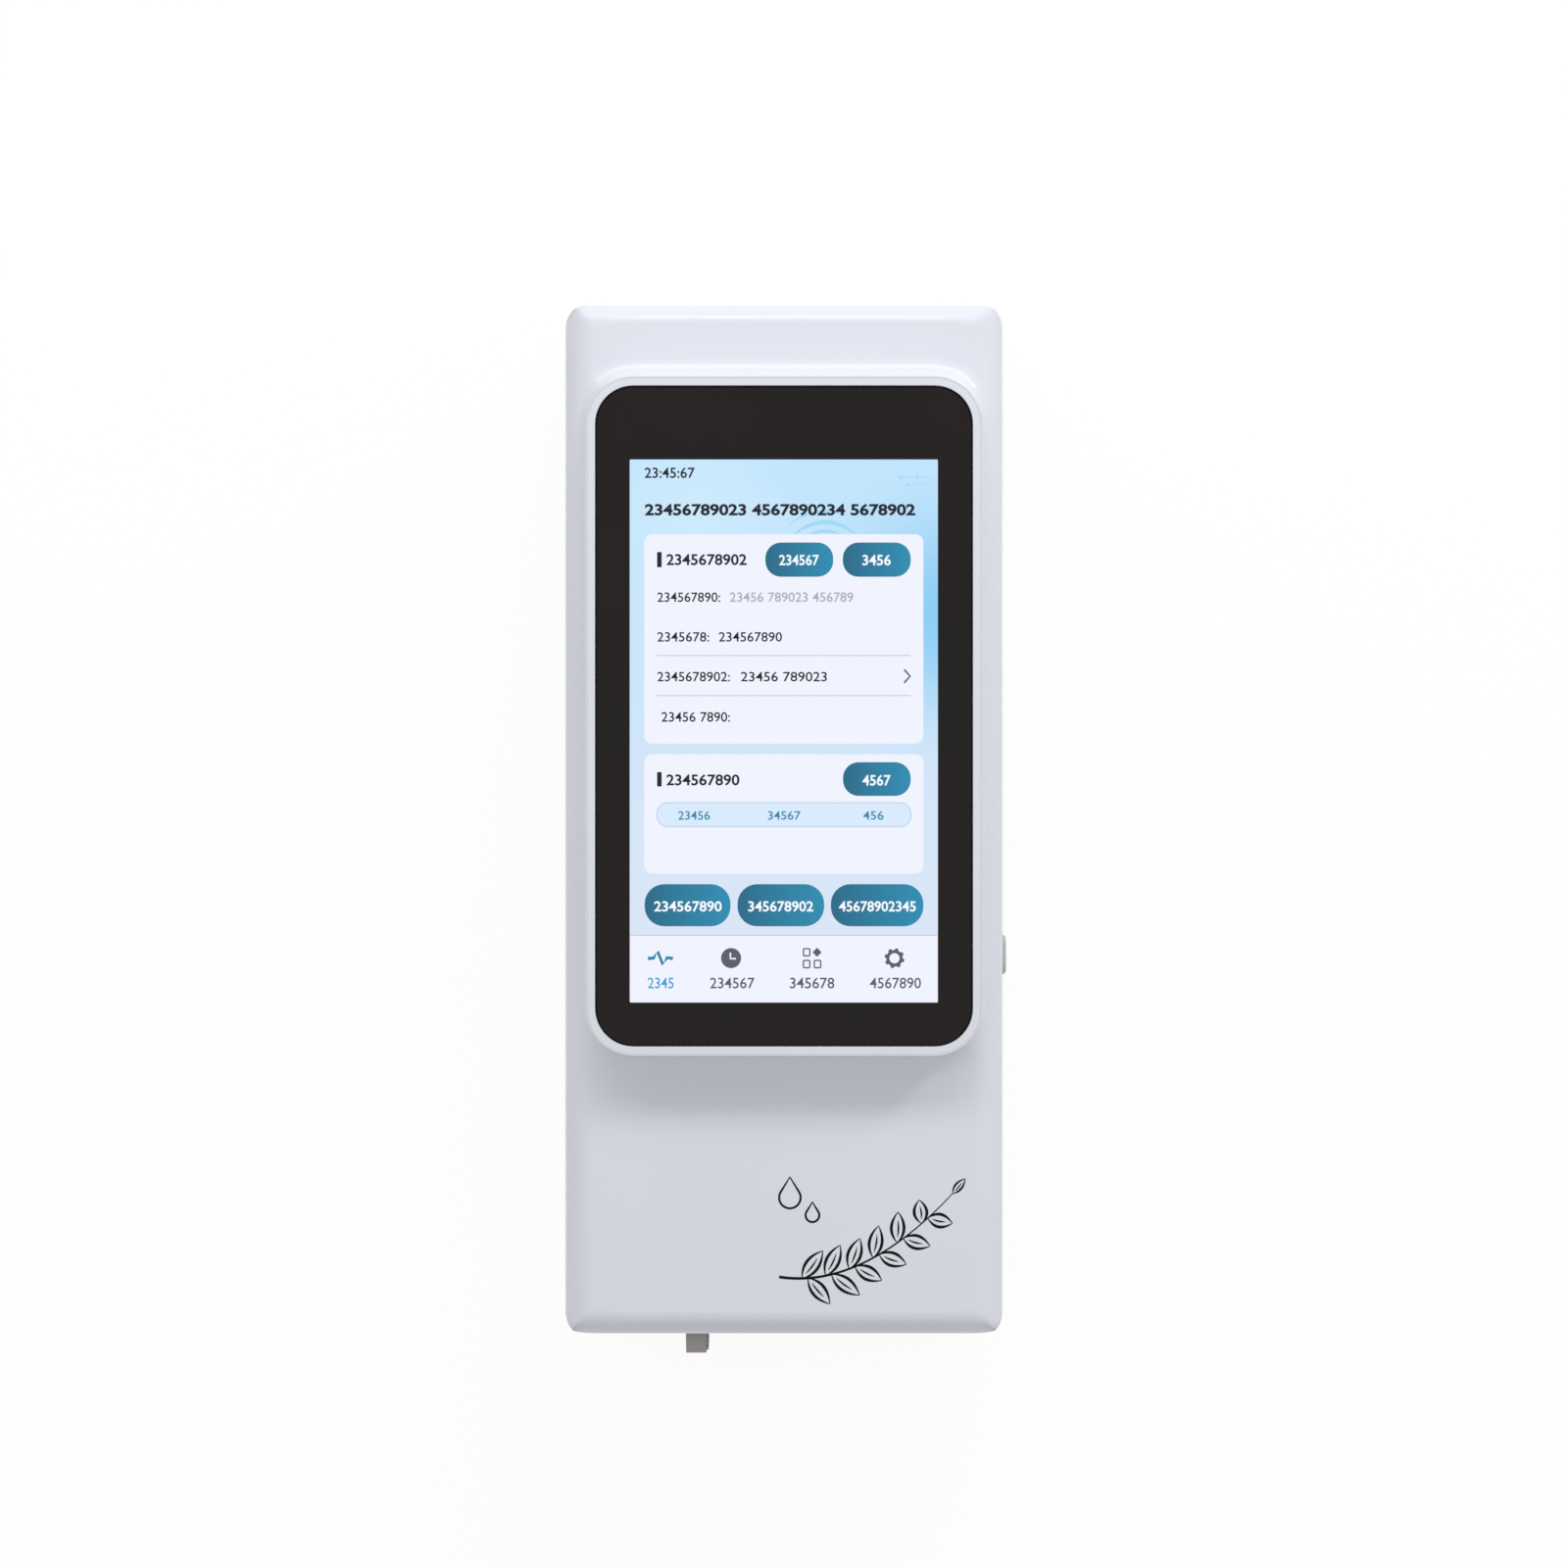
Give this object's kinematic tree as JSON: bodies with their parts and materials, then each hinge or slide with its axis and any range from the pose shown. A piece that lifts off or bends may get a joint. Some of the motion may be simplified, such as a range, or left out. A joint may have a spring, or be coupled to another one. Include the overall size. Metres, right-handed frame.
{
  "type": "rapid test reader",
  "caption": "Handheld fluorescence reader for rapid test cassettes: touch screen on a raised platform, side power button, pull-out cassette drawer and a scanning optical head inside.",
  "frame": {"origin": "middle of the housing's outline in plan, on the plane of the rubber feet", "axes": "+Z out of the screen, +Y towards the end with the charging inlet, +X towards the power button"},
  "size_m": [0.0912, 0.2199, 0.058],
  "materials": {
    "shell_plastic": "gloss",
    "button_plastic": "satin",
    "drawer_plastic": "satin",
    "tab_plastic": "satin",
    "foot_rubber": "matte",
    "cover_glass": "polished",
    "lcd_glass": "polished",
    "gasket_foam": "matte",
    "foam": "matte",
    "frame_steel": "satin",
    "screw_steel": "satin",
    "rod_steel": "polished",
    "can_metal": "satin",
    "magnet_metal": "polished",
    "flex_film": "satin",
    "board_green": "satin",
    "chip_black": "matte",
    "connector_cream": "satin",
    "battery_sleeve": "satin",
    "lead_sleeve": "satin",
    "bench_plastic": "matte",
    "bearing_bronze": "satin",
    "motor_steel": "satin",
    "head_aluminium": "anodised",
    "lens_glass": "polished",
    "filter_glass": "polished",
    "mirror_glass": "polished",
    "diode_ceramic": "satin"
  },
  "bodies": {
    "housing": {"front_shell": "shell_plastic", "back_shell": "shell_plastic", "rubber_feet": "foot_rubber", "shell_screws": "screw_steel", "cover_glass": "cover_glass", "screen_gasket": "gasket_foam", "lcd_module": "lcd_glass", "display_frame": "frame_steel", "board_screws": "screw_steel", "display_flex": "flex_film", "display_socket": "connector_cream", "main_board": "board_green", "shield_can": "can_metal", "board_chips": "chip_black", "usb_port": "can_metal", "buzzer": "chip_black", "tact_switch": "can_metal", "button_board": "board_green", "battery_pack": "battery_sleeve", "battery_foam": "foam", "battery_header": "connector_cream", "battery_plug": "connector_cream", "battery_lead": "lead_sleeve", "scan_bench": "bench_plastic", "bench_screws": "screw_steel", "guide_rods": "rod_steel", "screw_bearing": "bearing_bronze", "stepper_motor": "motor_steel", "home_sensor": "chip_black", "tray_sensor": "chip_black", "latch_magnet": "magnet_metal"},
    "card_drawer": {"card_tray": "drawer_plastic", "tray_magnet": "magnet_metal", "tray_front": "shell_plastic", "tray_tab": "tab_plastic"},
    "scan_carriage": {"optics_block": "head_aluminium", "slide_bush": "bearing_bronze", "lead_nut": "bearing_bronze", "focus_lens": "lens_glass", "emission_filter": "filter_glass", "dichroic_mirror": "mirror_glass", "excitation_filter": "filter_glass", "led_module": "board_green", "photodiode": "diode_ceramic", "detector_board": "board_green"},
    "drive_screw": {"lead_screw": "rod_steel"},
    "button": {"power_button": "button_plastic", "switch_plunger": "chip_black"}
  },
  "joints": [
    {"name": "drawer_slide", "type": "slide", "parent": "housing", "child": "card_drawer", "axis": [0, -1, 0], "range_m": [0, 0.078]},
    {"name": "head_slide", "type": "slide", "parent": "housing", "child": "scan_carriage", "axis": [0, 1, 0], "range_m": [0, 0.038]},
    {"name": "screw_spin", "type": "hinge", "parent": "housing", "child": "drive_screw", "pos_m": [-0.0062, -0.0923, 0.0335], "axis": [0, 1, 0], "continuous": true},
    {"name": "button_press", "type": "slide", "parent": "housing", "child": "button", "axis": [-1, 0, 0], "range_m": [0, 0.0007], "stiffness_N_per_m": 2000}
  ],
  "couplings": [
    {"joint": "screw_spin", "follows": "head_slide", "rad_per_m": 1570.8}
  ]
}
